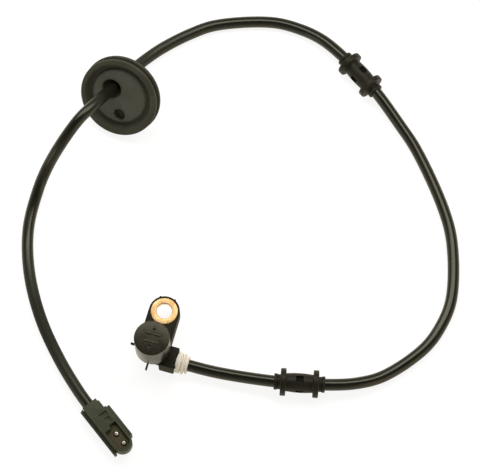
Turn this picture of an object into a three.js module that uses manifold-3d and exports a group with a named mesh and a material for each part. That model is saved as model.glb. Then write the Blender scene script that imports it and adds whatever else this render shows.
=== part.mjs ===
// A wheel speed sensor with its cable, body grommet, bracket sleeves and two pin connector.
// Millimetres, +Z up. The sensor lies on its back with the sensing nose up, and the cable lies round it.
import * as THREE from 'three';
import { mergeVertices } from 'three/addons/utils/BufferGeometryUtils.js';
import Module from 'manifold-3d';

const wasm = await Module();
wasm.setup();

// Fits between pieces
const GAP = 0.3;
const BUSH_FIT = 0.1;
const ROUND_STEPS = 48;
const SIDE_STEPS = 32;
const FINE_STEPS = 20;
const DOT_STEPS = 12;
const ARC_STEPS = 14;
const CORNER_STEPS = 6;
const CORE_SIDES = 8;
const CORE_STEPS = 14;

// How far a cut runs past the face that it opens
const PAST = 1;

// Sensing nose: a closed barrel that stands on the ear plate, on the head's axis
const NOSE_DIAMETER = 14.6;
const NOSE_LENGTH = 14;
const NOSE_WALL = 1.2;
const TIP_WALL = 0.8;
const TIP_CHAMFER = 0.45;
const TIP_BAR_LENGTH = 6.5;
const TIP_BAR_WIDTH = 0.8;
const TIP_BAR_HEIGHT = 0.2;
const TIP_BAR_OFFSET = 1.6;
const TIP_DOT_DIAMETER = 0.9;
const TIP_DOT_DEPTH = 0.4;
const TIP_DOT_OFFSET = 3.6;
const FOOT_NOTCH_WIDTH = 1.2;
const FOOT_NOTCH_HEIGHT = 1.4;

// Fixing ear and its bush for an M6 screw
const EAR_TOP = 11.5;
const EAR_THICKNESS = 7;
const EAR_REACH = 16.3;
const EAR_WALL = 0.6;
const EAR_ROOT_RADIUS = 6.8;
const EAR_CUT = 0.4;
const BUSH_DIAMETER = 11.4;
const BUSH_BORE = 6.4;
const BUSH_PROUD = 0.2;
const BUSH_CHAMFER = 0.3;
const NUB_RADIUS = 0.4;
const NUB_HEIGHT = 0.8;
const NUB_ANGLES = [63, 121];

// Back body with the pocket for the chip's leads, and the cable exit block
const BODY_HALF_WIDTH = 5.2;
const BODY_FRONT = 4;
const BODY_BACK = 5.5;
const BODY_CORNER = 1.8;
const POCKET_HALF_WIDTH = 3.2;
const POCKET_FRONT = 2.4;
const POCKET_BACK = 4.3;
const POCKET_FLOOR = 2.8;
const BLOCK_START = 3.8;
const BLOCK_REACH = 10.2;
const BLOCK_WIDTH = 9;
const BLOCK_HEIGHT = 9;
const BLOCK_CORNER = 0.6;
const FIN_REACH = 9.8;
const FRONT_FIN_REACH = 9.3;
const FIN_WIDTH = 0.9;
const FIN_HEIGHT = 1.6;
const FIN_LEVEL = 7.2;

// Cable, and the ribbed ferrule that holds it in the block
const CABLE_DIAMETER = 5;
const CABLE_SIDES = 12;
const CABLE_STEPS = 78;
const EXIT_OFFSET = -1.6;
const EXIT_HEIGHT = 4.6;
const FERRULE_WALL = 0.45;
const FERRULE_DEPTH = 5;
const FERRULE_LENGTH = 5.4;
const FERRULE_BANDS = [[0.3, 2.3, 4.35], [3, 3.8, 4.35], [4.6, 5.2, 3.8]];
const FERRULE_NECK_STEP = 0.1;

// Chip, magnet and leads inside the nose
const CARRIER_BASE = 2;
const SHELF_HEIGHT = 5.7;
const CARRIER_HALF_WIDTH = 3.2;
const CARRIER_HALF_DEPTH = 2.3;
const CHEEK_THICKNESS = 0.8;
const MAGNET_HEIGHT = 5;
const CHIP_WIDTH = 5.2;
const CHIP_DEPTH = 4.4;
const CHIP_THICKNESS = 1.5;
const LEAD_OFFSET = 1.3;
const LEAD_WIDTH = 0.7;
const LEAD_THICKNESS = 0.3;
const LEAD_TAIL = 3.2;
const CRIMP_RADIUS = 0.95;
const CRIMP_LENGTH = 2.6;
const CRIMP_WALL = 0.35;
const CRIMP_FIT = 0.05;
const CORE_DIAMETER = 1.3;
const CORE_SPACING = 1.9;

// Rubber bracket sleeves
const SLEEVE_LENGTH = 21.2;
const SLEEVE_BEAD_RADIUS = 3.4;
const SLEEVE_BEAD_WIDTH = 1.1;
const SLEEVE_EDGE = 0.2;
const SLEEVE_NECK_RADIUS = 3.15;
const SLEEVE_FLANGE_RADIUS = 5.75;
const SLEEVE_FLANGE_WIDTH = 2.3;
const SLEEVE_FLANGE_SPACING = 13.6;
const SLEEVE_BODY_RADIUS = 3.75;
const SLEEVE_CROWN = 0.35;
const SLEEVE_POCKET_LENGTH = 3.4;
const SLEEVE_POCKET_WIDTH = 2.5;
const SLEEVE_POCKET_DEPTH = 0.8;
const SLEEVE_POCKET_ANGLE = 101;
const LOWER_SLEEVE_TURN = 169;
const UPPER_SLEEVE_TURN = 100.7;

// Body grommet
const GROMMET_FRONT_RADIUS = 17.5;
const GROMMET_BACK_RADIUS = 17.7;
const GROMMET_GROOVE_RADIUS = 15.2;
const GROMMET_FRONT_WIDTH = 1.6;
const GROMMET_GROOVE_WIDTH = 1.8;
const GROMMET_BACK_WIDTH = 1.7;
const GROMMET_RIM_WIDTH = 2.3;
const GROMMET_PLATEAU_RADIUS = 13.4;
const GROMMET_CHANNEL_DEPTH = 3;
const GROMMET_EDGE = 0.5;
const GROMMET_GROOVE_EDGE = 0.3;
const BIG_HOLE_RADIUS = 4.35;
const BIG_HOLE_DEPTH = 4;
const BIG_HOLE_PLACE = [-1.92, -4.4];
const SMALL_HOLE_RADIUS = 2.65;
const SMALL_HOLE_PLACE = [8.36, 2.13];
const SNOUT_LENGTH = 8;
const SNOUT_WALL = 1.3;
const SMALL_SNOUT_LENGTH = 4.5;
const SMALL_SNOUT_WALL = 0.9;
const GROMMET_TILT = 50.24;
const GROMMET_AZIMUTH = -100.23;
const GROMMET_PLACE = [-45.79, 100.73];
const FLOOR_GAP = 0.05;

// Connector
const PLUG_PLACE = [-21.82, -33.28];
const PLUG_TURN = -35.59;
const PLUG_HEIGHT = 8;
const PLUG_LENGTH = 25.6;
const PLUG_WIDTH = 11.3;
const TAIL_WIDTH = 9.15;
const TAIL_LENGTH = 5.1;
const RAIL_WIDTH = 1.6;
const RAIL_HEIGHT = 5.6;
const RIGHT_RAIL_END = 20.9;
const LEFT_RAIL_END = 23.1;
const TAIL_NOTCH = 0.8;
const SOCKET_CENTRE = 5.75;
const SOCKET_RADIUS = 3;
const SOCKET_WALL = 1.1;
const SOCKET_FLOOR = 1.2;
const SOCKET_REAR = 14.1;
const SOCKET_KEY_REAR = 12.7;
const LATCH_POCKET = [6.55, 8.55, 5, 8.5];
const LATCH_POCKET_DEPTH = 1.8;
const CATCH_POCKET = [9.1, 11.7, 5.9, 8.1];
const CATCH_POCKET_DEPTH = 1.2;
const PLUG_CABLE_OFFSET = 4.75;
const PLUG_CABLE_HEIGHT = 4;
const PLUG_JACKET_END = 4.9;
const SEAL_START = 0.6;
const SEAL_LENGTH = 3.4;
const SEAL_THICKNESS = 0.5;
const CHANNEL_START = 6.4;
const CHANNEL_RIGHT = 9.45;
const CHANNEL_LEFT = 3.65;
const CHANNEL_TOP = 4.3;
const PIN_RADIUS = 1;
const PIN_TOP = 6.8;
const PIN_DOME = 0.75;
const PIN_ROW = 6.2;
const PIN_PLACES = [17, 21.95];
const STRIP_THICKNESS = 0.3;
const STRIP_WIDTH = 0.9;
const BARREL_START = 7.2;
const BARREL_LENGTH = 2.4;
const BARREL_ROWS = [5.15, 7.9];
const CARRIER_PLATE = 3;

// Route of the cable's centre line, from inside the ferrule to inside the connector, from the nose axis
const ROUTE = [
  [5.6, -1.6, 4.6], [15.6, -1.6, 4.6], [28.7, -1.2, 4.6], [51.8, 1.3, 5.8], [62.1, 3.5, 5.85],
  [72.4, 5.7, 5.8], [85.1, 10.4, 4.4], [95.2, 17.1, 2.9], [108.1, 33, 2.55], [112.4, 44.2, 2.55],
  [113.8, 57.1, 2.55], [108.1, 81.2, 2.55], [100.8, 95.3, 2.55], [82.6, 118.7, 2.65], [72.8, 127.6, 3.6],
  [59.1, 138.7, 5.8], [50.5, 144.5, 5.85], [41.9, 150.3, 5.8], [30.4, 156.6, 4.4], [20.1, 159.4, 3.1],
  [6.7, 159.5, 2.65], [-17, 151.3, 2.6], [-26.6, 144.2, 2.65], [-35.7, 135.1, 2.75], [-40.7, 128.6, 3.1],
  [-46.57, 117.04, 7.06], [-48.47, 110.66, 11.36], [-49.77, 103.48, 17.43], [-53.2, 93.4, 23],
  [-57.4, 84.7, 23.8], [-61.8, 74.8, 19.8], [-66.5, 64.2, 10.4], [-68.3, 54.4, 4.8], [-67.3, 37.9, 2.75],
  [-61, 19.6, 2.65], [-50.2, 1.6, 2.6], [-37.2, -13.4, 2.9], [-25.4, -24.4, 3.8], [-19.1, -29.4, 4],
  [-15.1, -32.25, 4],
];
const LOWER_SLEEVE_INDEX = 4;
const UPPER_SLEEVE_INDEX = 16;

// Sizes that follow from the ones above
const NOSE_RADIUS = NOSE_DIAMETER / 2;
const CABLE_RADIUS = CABLE_DIAMETER / 2;
const CORE_RADIUS = CORE_DIAMETER / 2;
const CABLE_BORE = CABLE_RADIUS + GAP;
const EAR_BOTTOM = EAR_TOP - EAR_THICKNESS;
const EAR_RADIUS = BUSH_DIAMETER / 2 + EAR_WALL;
const NOSE_TOP = EAR_TOP + NOSE_LENGTH;
const FERRULE_RADIUS = CABLE_BORE + FERRULE_WALL;
const FERRULE_START = BLOCK_REACH - FERRULE_DEPTH;
const FERRULE_END = BLOCK_REACH + FERRULE_LENGTH;
const LEAD_PLANE = CARRIER_HALF_DEPTH + GAP;
const LEAD_BOTTOM = EAR_TOP - LEAD_TAIL;
const SHELF_LEVEL = EAR_TOP + SHELF_HEIGHT;
const CHIP_LEVEL = SHELF_LEVEL + MAGNET_HEIGHT + 2 * GAP;
const HEAD_CENTRE_X = (FERRULE_END - FIN_REACH) / 2;
const HEAD_CENTRE_Y = (EAR_REACH + EAR_RADIUS - FRONT_FIN_REACH) / 2;

function finish(hex, roughness, metalness = 0) {
  return new THREE.MeshStandardMaterial({ color: hex, roughness, metalness });
}

const FINISHES = {
  headPlastic: finish(0x2c2b27, 0.5),
  nosePlastic: finish(0x2f2e28, 0.35),
  brass: finish(0xd9ad62, 0.35, 1),
  naturalNylon: finish(0xd9d3c6, 0.5),
  cableJacket: finish(0x1d1c19, 0.3),
  rubber: finish(0x3d3d35, 0.75),
  sleeveRubber: finish(0x22211d, 0.6),
  plugPlastic: finish(0x3e3f36, 0.6),
  carrierPlastic: finish(0x3a3527, 0.6),
  tin: finish(0xc9c8c2, 0.3, 1),
  chipPlastic: finish(0x1a1a1a, 0.5),
  magnet: finish(0x4b4a48, 0.5, 0.8),
  coreBrown: finish(0x6b3d22, 0.5),
  coreBlue: finish(0x26476f, 0.5),
};

// Helpers: a closed three.js geometry becomes a solid, and a solid becomes a geometry again
function solidOf(geometry) {
  const bare = geometry.clone();
  bare.deleteAttribute('normal');
  bare.deleteAttribute('uv');
  const merged = mergeVertices(bare, 1e-4);
  const corners = merged.index.array;
  const kept = [];
  for (let i = 0; i < corners.length; i += 3) {
    const [a, b, c] = [corners[i], corners[i + 1], corners[i + 2]];
    if (a !== b && b !== c && c !== a) kept.push(a, b, c);
  }
  const vertProperties = new Float32Array(merged.attributes.position.array);
  return new wasm.Manifold(new wasm.Mesh({ numProp: 3, vertProperties, triVerts: new Uint32Array(kept) }));
}

function geometryOf(solid) {
  const mesh = solid.getMesh();
  const geometry = new THREE.BufferGeometry();
  geometry.setAttribute('position', new THREE.BufferAttribute(mesh.vertProperties, 3));
  geometry.setIndex(new THREE.BufferAttribute(mesh.triVerts, 1));
  geometry.computeVertexNormals();
  return geometry;
}

// A closed profile of [radius, height] pairs, anticlockwise, turned about Z
function turned(profile, steps = ROUND_STEPS) {
  const points = profile.map(([radius, height]) => new THREE.Vector2(radius, height));
  points.push(points[0].clone());
  const lathe = new THREE.LatheGeometry(points, steps);
  lathe.rotateX(Math.PI / 2);
  return solidOf(lathe);
}

function disc(radius, bottom, top, steps = ROUND_STEPS) {
  return turned([[0, bottom], [radius, bottom], [radius, top], [0, top]], steps);
}

function extruded(shape, bottom, top, curveSegments = 16) {
  const options = { depth: top - bottom, bevelEnabled: false, curveSegments };
  const geometry = new THREE.ExtrudeGeometry(shape, options);
  geometry.translate(0, 0, bottom);
  return solidOf(geometry);
}

function block(x0, x1, y0, y1, z0, z1) {
  const box = new THREE.BoxGeometry(x1 - x0, y1 - y0, z1 - z0);
  box.translate((x0 + x1) / 2, (y0 + y1) / 2, (z0 + z1) / 2);
  return solidOf(box);
}

function roundedRectangle(x0, x1, y0, y1, r) {
  const shape = new THREE.Shape();
  shape.moveTo(x0 + r, y0);
  shape.lineTo(x1 - r, y0);
  shape.absarc(x1 - r, y0 + r, r, -Math.PI / 2, 0);
  shape.absarc(x1 - r, y1 - r, r, 0, Math.PI / 2);
  shape.absarc(x0 + r, y1 - r, r, Math.PI / 2, Math.PI);
  shape.absarc(x0 + r, y0 + r, r, Math.PI, Math.PI * 1.5);
  return shape;
}

function polygon(points) {
  return new THREE.Shape(points.map(([x, y]) => new THREE.Vector2(x, y)));
}

function tubeAlong(points, radius, sides, steps) {
  const curve = new THREE.CatmullRomCurve3(points.map((p) => new THREE.Vector3(...p)));
  const section = [];
  for (let i = 0; i < sides; i += 1) {
    const angle = (2 * Math.PI * i) / sides;
    section.push([radius * Math.cos(angle), radius * Math.sin(angle)]);
  }
  const options = { steps, extrudePath: curve, bevelEnabled: false };
  return solidOf(new THREE.ExtrudeGeometry(polygon(section), options));
}

const lyingAlongX = (solid) => solid.rotate([0, 90, 0]);

function piece(name, solid, material) {
  const mesh = new THREE.Mesh(geometryOf(solid), FINISHES[material]);
  mesh.name = name;
  return mesh;
}

// The ear plate's outline: a small round end at the bush and a wider one at the nose, joined by tangents
function earOutline() {
  const lean = Math.asin((EAR_ROOT_RADIUS - EAR_RADIUS) / EAR_REACH);
  const shape = new THREE.Shape();
  shape.absarc(0, EAR_REACH, EAR_RADIUS, lean, Math.PI - lean);
  shape.absarc(0, 0, EAR_ROOT_RADIUS, Math.PI - lean, 2 * Math.PI + lean);
  return shape;
}

function headHousing() {
  const exitFront = EXIT_OFFSET - BLOCK_WIDTH / 2;
  const exitBack = EXIT_OFFSET + BLOCK_WIDTH / 2;
  const beyond = 2 * EAR_ROOT_RADIUS;
  const cutAway = block(-beyond, beyond, -beyond, -EAR_CUT, 0, NOSE_TOP);
  const plate = extruded(earOutline(), EAR_BOTTOM, EAR_TOP, ROUND_STEPS / 2).subtract(cutAway);
  const half = BODY_HALF_WIDTH;
  const bodyOutline = roundedRectangle(-half, half, -BODY_FRONT, BODY_BACK, BODY_CORNER);
  const body = extruded(bodyOutline, 0, EAR_TOP, CORNER_STEPS);
  const blockOutline = roundedRectangle(BLOCK_START, BLOCK_REACH, exitFront, exitBack, BLOCK_CORNER);
  const exitBlock = extruded(blockOutline, 0, BLOCK_HEIGHT, CORNER_STEPS);
  const sideFin = block(-FIN_REACH, 0, -FIN_WIDTH / 2, FIN_WIDTH / 2, FIN_LEVEL, FIN_LEVEL + FIN_HEIGHT);
  const frontFin = block(-FIN_WIDTH, 0, -FRONT_FIN_REACH, 0, FIN_LEVEL, FIN_LEVEL + FIN_HEIGHT);
  let housing = plate.add(body).add(exitBlock).add(sideFin).add(frontFin);
  for (const angle of NUB_ANGLES) {
    const turn = THREE.MathUtils.degToRad(angle);
    const place = [EAR_RADIUS * Math.cos(turn), EAR_REACH + EAR_RADIUS * Math.sin(turn), 0];
    housing = housing.add(disc(NUB_RADIUS, EAR_TOP - NUB_HEIGHT, EAR_TOP, DOT_STEPS).translate(place));
  }
  const pocket = block(
    -POCKET_HALF_WIDTH, POCKET_HALF_WIDTH, -POCKET_FRONT, POCKET_BACK, POCKET_FLOOR, NOSE_TOP,
  );
  const bore = lyingAlongX(disc(FERRULE_RADIUS + GAP, FERRULE_START - GAP, BLOCK_REACH + GAP));
  const coreWay = lyingAlongX(disc(CORE_SPACING, 0, BLOCK_REACH, FINE_STEPS));
  const bushHole = disc(BUSH_DIAMETER / 2 + BUSH_FIT, 0, NOSE_TOP).translate([0, EAR_REACH, 0]);
  const exit = [0, EXIT_OFFSET, EXIT_HEIGHT];
  housing = housing.subtract(pocket).subtract(bushHole);
  return housing.subtract(bore.translate(exit)).subtract(coreWay.translate(exit));
}

function noseCap() {
  const inner = NOSE_RADIUS - NOSE_WALL;
  const shell = turned([
    [inner, EAR_TOP], [NOSE_RADIUS, EAR_TOP], [NOSE_RADIUS, NOSE_TOP - TIP_CHAMFER],
    [NOSE_RADIUS - TIP_CHAMFER, NOSE_TOP], [0, NOSE_TOP], [0, NOSE_TOP - TIP_WALL],
    [inner, NOSE_TOP - TIP_WALL],
  ]);
  let cap = shell;
  for (const side of [-1, 1]) {
    const middle = side * TIP_BAR_OFFSET;
    cap = cap.add(block(
      -TIP_BAR_LENGTH / 2, TIP_BAR_LENGTH / 2, middle - TIP_BAR_WIDTH / 2, middle + TIP_BAR_WIDTH / 2,
      NOSE_TOP - TIP_WALL / 2, NOSE_TOP + TIP_BAR_HEIGHT,
    ));
    const dot = disc(TIP_DOT_DIAMETER / 2, NOSE_TOP - TIP_DOT_DEPTH, NOSE_TOP + PAST, DOT_STEPS);
    cap = cap.subtract(dot.translate([0, side * TIP_DOT_OFFSET, 0]));
  }
  for (let quarter = 0; quarter < 4; quarter += 1) {
    const half = FOOT_NOTCH_WIDTH / 2;
    const notch = block(inner / 2, NOSE_DIAMETER, -half, half, 0, EAR_TOP + FOOT_NOTCH_HEIGHT);
    cap = cap.subtract(notch.rotate([0, 0, 90 * quarter]));
  }
  return cap;
}

function mountingBush() {
  const bottom = EAR_BOTTOM - BUSH_PROUD;
  const top = EAR_TOP + BUSH_PROUD;
  const outer = BUSH_DIAMETER / 2;
  const bore = BUSH_BORE / 2;
  return turned([
    [bore, bottom], [outer - BUSH_CHAMFER, bottom], [outer, bottom + BUSH_CHAMFER],
    [outer, top - BUSH_CHAMFER], [outer - BUSH_CHAMFER, top], [bore + BUSH_CHAMFER, top],
    [bore, top - BUSH_CHAMFER],
  ]).translate([0, EAR_REACH, 0]);
}

function chipCarrier() {
  const baseTop = EAR_TOP + CARRIER_BASE;
  const cheekTop = CHIP_LEVEL - GAP;
  let carrier = disc(NOSE_RADIUS - NOSE_WALL - GAP, EAR_TOP, baseTop);
  carrier = carrier.add(block(
    -CARRIER_HALF_WIDTH, CARRIER_HALF_WIDTH, -CARRIER_HALF_DEPTH, CARRIER_HALF_DEPTH, EAR_TOP, cheekTop,
  ));
  const seat = CARRIER_HALF_WIDTH - CHEEK_THICKNESS;
  const past = 2 * CARRIER_HALF_DEPTH;
  carrier = carrier.subtract(block(-seat, seat, -past, past, SHELF_LEVEL, NOSE_TOP));
  for (const side of [-1, 1]) {
    const middle = side * LEAD_OFFSET;
    const half = LEAD_WIDTH / 2 + GAP;
    carrier = carrier.subtract(block(
      middle - half, middle + half, CARRIER_HALF_DEPTH, LEAD_PLANE + LEAD_THICKNESS + GAP, 0, NOSE_TOP,
    ));
  }
  return carrier;
}

function biasMagnet() {
  const half = CARRIER_HALF_WIDTH - CHEEK_THICKNESS - GAP;
  const bottom = SHELF_LEVEL + GAP;
  return block(-half, half, -CARRIER_HALF_DEPTH, CARRIER_HALF_DEPTH, bottom, bottom + MAGNET_HEIGHT);
}

function sensorChip() {
  return block(
    -CHIP_WIDTH / 2, CHIP_WIDTH / 2, -CHIP_DEPTH / 2, CHIP_DEPTH / 2, CHIP_LEVEL, CHIP_LEVEL + CHIP_THICKNESS,
  );
}

// One bent metal strip, from the chip's edge down the carrier's side and through its base to the crimp
function chipLead(side) {
  const start = CHIP_DEPTH / 2 + GAP / 2;
  const outer = LEAD_PLANE + LEAD_THICKNESS;
  const level = CHIP_LEVEL + (CHIP_THICKNESS + LEAD_THICKNESS) / 2;
  const outline = polygon([
    [start, level - LEAD_THICKNESS], [LEAD_PLANE, level - LEAD_THICKNESS], [LEAD_PLANE, LEAD_BOTTOM],
    [outer, LEAD_BOTTOM], [outer, level], [start, level],
  ]);
  const strip = extruded(outline, -LEAD_WIDTH / 2, LEAD_WIDTH / 2);
  return strip.rotate([90, 0, 90]).translate([side * LEAD_OFFSET, 0, 0]);
}

function coreCrimp(side) {
  const inner = CRIMP_RADIUS - CRIMP_WALL + CRIMP_FIT;
  const top = LEAD_BOTTOM + CRIMP_LENGTH / 2;
  const bottom = top - CRIMP_LENGTH;
  const profile = [[inner, bottom], [CRIMP_RADIUS, bottom], [CRIMP_RADIUS, top], [inner, top]];
  const sleeve = turned(profile, FINE_STEPS);
  return sleeve.translate([side * LEAD_OFFSET, LEAD_PLANE + LEAD_THICKNESS / 2, 0]);
}

function headCore(side) {
  const end = LEAD_BOTTOM - CRIMP_LENGTH / 2 - GAP;
  const row = EXIT_OFFSET + (side * CORE_SPACING) / 2;
  const plane = LEAD_PLANE + LEAD_THICKNESS / 2;
  return tubeAlong([
    [FERRULE_START, row, EXIT_HEIGHT], [POCKET_HALF_WIDTH + GAP, row, EXIT_HEIGHT],
    [side * LEAD_OFFSET + GAP, plane - 2 * CORE_RADIUS, EXIT_HEIGHT - GAP], [side * LEAD_OFFSET, plane, end],
  ], CORE_RADIUS, CORE_SIDES, CORE_STEPS);
}

function cableFerrule() {
  const neck = FERRULE_RADIUS - FERRULE_NECK_STEP;
  const profile = [[CABLE_BORE, -FERRULE_DEPTH], [FERRULE_RADIUS, -FERRULE_DEPTH], [FERRULE_RADIUS, GAP / 2]];
  for (const [start, end, radius] of FERRULE_BANDS) {
    profile.push([neck, start], [radius, start], [radius, end], [neck, end]);
  }
  profile.push([neck, FERRULE_LENGTH], [CABLE_BORE, FERRULE_LENGTH]);
  return lyingAlongX(turned(profile, SIDE_STEPS)).translate([BLOCK_REACH, EXIT_OFFSET, EXIT_HEIGHT]);
}

// One bracket sleeve lying along X about its own centre
function bracketSleeve() {
  const half = SLEEVE_LENGTH / 2;
  const flangeIn = (SLEEVE_FLANGE_SPACING - SLEEVE_FLANGE_WIDTH) / 2;
  const flangeOut = flangeIn + SLEEVE_FLANGE_WIDTH;
  const bead = SLEEVE_BEAD_RADIUS;
  const neck = SLEEVE_NECK_RADIUS;
  const flange = SLEEVE_FLANGE_RADIUS;
  const body = SLEEVE_BODY_RADIUS;
  const edge = SLEEVE_EDGE;
  const beadEnd = half - SLEEVE_BEAD_WIDTH;
  const outside = [
    [bead - edge, half], [bead, half - edge], [bead, beadEnd], [neck, beadEnd - 2 * edge], [neck, flangeOut],
    [flange - edge, flangeOut], [flange, flangeOut - edge], [flange, flangeIn + edge],
    [flange - edge, flangeIn], [body, flangeIn], [body + SLEEVE_CROWN * 0.75, flangeIn / 2], [body + SLEEVE_CROWN, 0],
  ];
  const upper = outside.slice(0, -1).reverse();
  const lower = outside.map(([radius, along]) => [radius, -along]);
  const profile = [[CABLE_BORE, -half], ...lower, ...upper, [CABLE_BORE, half]];
  let sleeve = turned(profile, SIDE_STEPS);
  const pocketWidth = SLEEVE_POCKET_WIDTH / 2;
  const pocketLength = SLEEVE_POCKET_LENGTH / 2;
  for (const angle of [0, SLEEVE_POCKET_ANGLE]) {
    const floor = body + SLEEVE_CROWN - SLEEVE_POCKET_DEPTH;
    const cut = block(floor, flange, -pocketWidth, pocketWidth, -pocketLength, pocketLength);
    sleeve = sleeve.subtract(cut.rotate([0, 0, angle]));
  }
  return lyingAlongX(sleeve);
}

// Places a sleeve on the cable at one of the route's points, turned to the points on each side of it
function placedSleeve(name, index, turn) {
  const nearby = ROUTE.slice(index - 1, index + 2);
  const [before, here, after] = nearby.map((point) => new THREE.Vector3(...point));
  const mesh = piece(name, bracketSleeve(), 'sleeveRubber');
  const along = after.clone().sub(before).normalize();
  const ahead = new THREE.Vector3(1, 0, 0);
  const heading = new THREE.Quaternion().setFromUnitVectors(ahead, along);
  const spin = new THREE.Quaternion().setFromAxisAngle(ahead, THREE.MathUtils.degToRad(turn));
  mesh.quaternion.copy(heading).multiply(spin);
  mesh.position.copy(here);
  return mesh;
}

// The grommet about the middle of its front face, with that face towards +Z
function panelGrommet() {
  const backTop = -GROMMET_FRONT_WIDTH - GROMMET_GROOVE_WIDTH;
  const back = backTop - GROMMET_BACK_WIDTH;
  const rim = GROMMET_FRONT_RADIUS - GROMMET_RIM_WIDTH;
  const edge = GROMMET_EDGE;
  const corner = GROMMET_GROOVE_EDGE;
  const body = turned([
    [0, back], [GROMMET_BACK_RADIUS - edge, back], [GROMMET_BACK_RADIUS, back + edge],
    [GROMMET_BACK_RADIUS, backTop - edge], [GROMMET_BACK_RADIUS - edge, backTop],
    [GROMMET_GROOVE_RADIUS + corner, backTop], [GROMMET_GROOVE_RADIUS, backTop + corner],
    [GROMMET_GROOVE_RADIUS, -GROMMET_FRONT_WIDTH - corner],
    [GROMMET_GROOVE_RADIUS + corner, -GROMMET_FRONT_WIDTH],
    [GROMMET_FRONT_RADIUS - edge, -GROMMET_FRONT_WIDTH],
    [GROMMET_FRONT_RADIUS, edge - GROMMET_FRONT_WIDTH], [GROMMET_FRONT_RADIUS, -edge],
    [GROMMET_FRONT_RADIUS - edge, 0], [rim + edge, 0], [rim, -edge], [rim - edge, -GROMMET_CHANNEL_DEPTH],
    [GROMMET_PLATEAU_RADIUS + edge / 2, -GROMMET_CHANNEL_DEPTH], [GROMMET_PLATEAU_RADIUS, -edge * 2],
    [GROMMET_PLATEAU_RADIUS - edge * 1.5, -edge / 2], [0, 0],
  ]);
  const bigPlace = [...BIG_HOLE_PLACE, 0];
  const smallPlace = [...SMALL_HOLE_PLACE, 0];
  const snoutEnd = back - SNOUT_LENGTH;
  const snout = turned([
    [0, snoutEnd], [CABLE_BORE + SNOUT_WALL - edge, snoutEnd], [CABLE_BORE + SNOUT_WALL, snoutEnd + edge],
    [BIG_HOLE_RADIUS + SNOUT_WALL / 2, back - 2 * edge], [BIG_HOLE_RADIUS + SNOUT_WALL, -BIG_HOLE_DEPTH],
    [0, -BIG_HOLE_DEPTH],
  ], SIDE_STEPS).translate(bigPlace);
  const smallEnd = back - SMALL_SNOUT_LENGTH;
  const smallWall = disc(SMALL_HOLE_RADIUS + SMALL_SNOUT_WALL, smallEnd, -BIG_HOLE_DEPTH, FINE_STEPS);
  const smallSnout = smallWall.translate(smallPlace);
  const funnel = turned([
    [0, snoutEnd - PAST], [CABLE_BORE, snoutEnd - PAST], [CABLE_BORE, back],
    [BIG_HOLE_RADIUS, -BIG_HOLE_DEPTH], [BIG_HOLE_RADIUS, PAST], [0, PAST],
  ], SIDE_STEPS).translate(bigPlace);
  const smallHole = disc(SMALL_HOLE_RADIUS, smallEnd - PAST, PAST, FINE_STEPS).translate(smallPlace);
  return body.add(snout).add(smallSnout).subtract(funnel).subtract(smallHole);
}

function placedGrommet() {
  const mesh = piece('panel_grommet', panelGrommet(), 'rubber');
  const tilt = THREE.MathUtils.degToRad(GROMMET_TILT);
  const thickness = GROMMET_FRONT_WIDTH + GROMMET_GROOVE_WIDTH + GROMMET_BACK_WIDTH;
  const lift = (thickness - GROMMET_EDGE) * Math.cos(tilt) + GROMMET_BACK_RADIUS * Math.sin(tilt) + FLOOR_GAP;
  mesh.rotation.set(0, tilt, THREE.MathUtils.degToRad(GROMMET_AZIMUTH), 'ZYX');
  mesh.position.set(...GROMMET_PLACE, lift);
  return mesh;
}

// Connector, with X from the cable's end to the tip, Y across it and Z up through the open socket
function socketOutline(radius, rear, keyRear) {
  const centre = PLUG_LENGTH - SOCKET_WALL - SOCKET_RADIUS;
  const shape = new THREE.Shape();
  shape.moveTo(rear, SOCKET_CENTRE - radius);
  shape.lineTo(centre, SOCKET_CENTRE - radius);
  shape.absarc(centre, SOCKET_CENTRE, radius, -Math.PI / 2, Math.PI / 2);
  shape.lineTo(keyRear, SOCKET_CENTRE + radius);
  shape.lineTo(keyRear, SOCKET_CENTRE);
  shape.lineTo(rear, SOCKET_CENTRE);
  return shape;
}

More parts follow.
